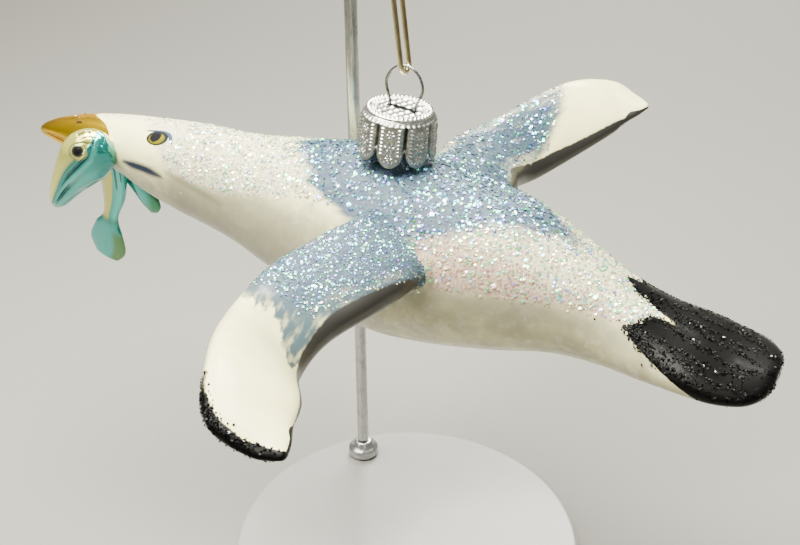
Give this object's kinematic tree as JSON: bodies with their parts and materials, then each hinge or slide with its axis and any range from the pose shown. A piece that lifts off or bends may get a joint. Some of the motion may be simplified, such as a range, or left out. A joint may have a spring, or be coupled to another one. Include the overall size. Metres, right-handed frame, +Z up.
{
  "type": "seagull glass ornament",
  "caption": "Hanging ornament in painted blown glass: a flying seagull with a fish in its bill, held by a crowned metal cap, wire ring and hook on a display stand.",
  "frame": {"origin": "centre of the underside of the stand base", "axes": "+Z up, the gull faces -X, its left wing is towards -Y, the ring swings about Y"},
  "size_m": [0.1543, 0.1438, 0.1407],
  "materials": {
    "pearl_white_glass": "glossy pearl paint",
    "glittered_glass": "blue grey paint under coarse glitter",
    "black_glass": "gloss black paint",
    "amber_glass": "gloss amber paint",
    "mint_glass": "gloss teal and pale yellow paint",
    "silvered_cap": "bright embossed",
    "steel_wire": "bright drawn wire",
    "gilt_wire": "bright",
    "satin_steel": "satin",
    "pale_lacquer": "satin"
  },
  "bodies": {
    "stand": {"stand_base": "pale_lacquer", "stand_foot": "satin_steel", "stand_post": "satin_steel", "stand_elbow": "satin_steel", "stand_arm": "satin_steel", "hook": "gilt_wire"},
    "gull": {"trunk": "glittered_glass", "neck": "pearl_white_glass", "head": "pearl_white_glass", "bill": "amber_glass", "tail": "black_glass", "wing_left": "glittered_glass", "wing_right": "glittered_glass", "fish_front": "mint_glass", "fish_rear": "mint_glass", "fish_fin": "mint_glass", "cap": "silvered_cap", "ring": "steel_wire"}
  },
  "joints": [
    {"name": "gull_swing", "type": "hinge", "parent": "stand", "child": "gull", "pos_m": [0, 0, 0.104], "axis": [0, 1, 0], "range_deg": [-12, 12]}
  ]
}
